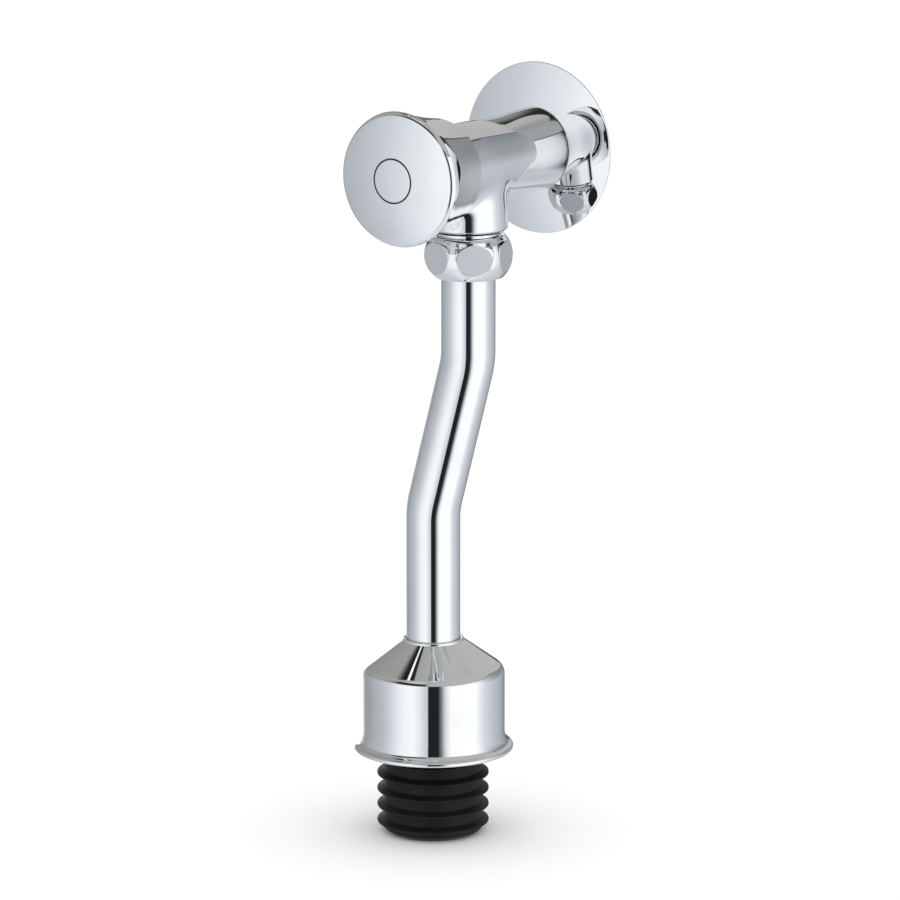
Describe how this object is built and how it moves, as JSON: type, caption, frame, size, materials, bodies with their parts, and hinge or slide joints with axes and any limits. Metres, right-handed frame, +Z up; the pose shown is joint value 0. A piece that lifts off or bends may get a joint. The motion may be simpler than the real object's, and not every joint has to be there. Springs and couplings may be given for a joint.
{
  "type": "urinal flush valve",
  "caption": "Chrome push-button urinal flush valve: wall flange, round body, union nut, S-bent flush tube, bell cover and black ribbed rubber seal.",
  "frame": {"origin": "On the inlet axis, in the plane of the finished wall that the flange's foot ring stands on.", "axes": "+Y points into the wall along the inlet, +Z points up, and the button faces -Y."},
  "size_m": [0.0704, 0.1057, 0.2662],
  "materials": {
    "bright_chrome": "polished",
    "insert_chrome": "polished",
    "turned_brass": "satin",
    "stainless": "satin",
    "black_rubber": "satin",
    "seal_rubber": "matte",
    "white_plastic": "matte",
    "washer_fibre": "matte"
  },
  "bodies": {
    "valve_body": {"valve_body": "bright_chrome", "inlet_nipple": "turned_brass", "inlet_o_ring": "seal_rubber", "inlet_strainer": "stainless", "seat_ring": "turned_brass", "cartridge_sleeve": "white_plastic", "bonnet": "turned_brass", "bonnet_o_ring": "seal_rubber", "guide_bush": "white_plastic", "stem_o_ring": "seal_rubber", "metering_pin": "turned_brass"},
    "push_button": {"button_cap": "bright_chrome", "button_insert": "insert_chrome", "button_screw": "stainless", "push_stem": "turned_brass", "piston": "white_plastic", "piston_lip_seal": "seal_rubber", "piston_clip": "stainless", "valve_disc": "seal_rubber", "disc_retainer": "turned_brass", "stem_nut": "stainless", "return_spring": "stainless"},
    "wall_flange": {"wall_flange": "bright_chrome"},
    "slip_ring": {"slip_ring": "turned_brass"},
    "union_nut": {"union_nut": "bright_chrome"},
    "outlet_tube": {"outlet_tube": "bright_chrome", "tube_washer": "washer_fibre", "spud_seal": "black_rubber"},
    "bell_cover": {"bell_cover": "bright_chrome", "cover_grip_ring": "seal_rubber"}
  },
  "joints": [
    {"name": "button_push", "type": "slide", "parent": "valve_body", "child": "push_button", "axis": [0, 1, 0], "range_m": [0, 0.0035], "stiffness_N_per_m": 1500, "springref_m": -0.006, "deforming": ["return_spring"]},
    {"name": "flange_turn", "type": "hinge", "parent": "valve_body", "child": "wall_flange", "pos_m": [0, 0, 0], "axis": [0, 1, 0], "continuous": true},
    {"name": "slip_ring_drop", "type": "slide", "parent": "valve_body", "child": "slip_ring", "axis": [0, 0, -1], "range_m": [0, 0.006]},
    {"name": "nut_turn", "type": "hinge", "parent": "slip_ring", "child": "union_nut", "pos_m": [0, -0.043, -0.031], "axis": [0, 0, -1], "range_deg": [0, 1445]},
    {"name": "tube_swivel", "type": "hinge", "parent": "valve_body", "child": "outlet_tube", "pos_m": [0, -0.043, -0.05], "axis": [0, 0, 1], "continuous": true},
    {"name": "bell_lift", "type": "slide", "parent": "outlet_tube", "child": "bell_cover", "axis": [0, 0, 1], "range_m": [0, 0.036]}
  ],
  "couplings": [
    {"joint": "nut_turn", "follows": "slip_ring_drop", "rad_per_m": 4188.8}
  ]
}
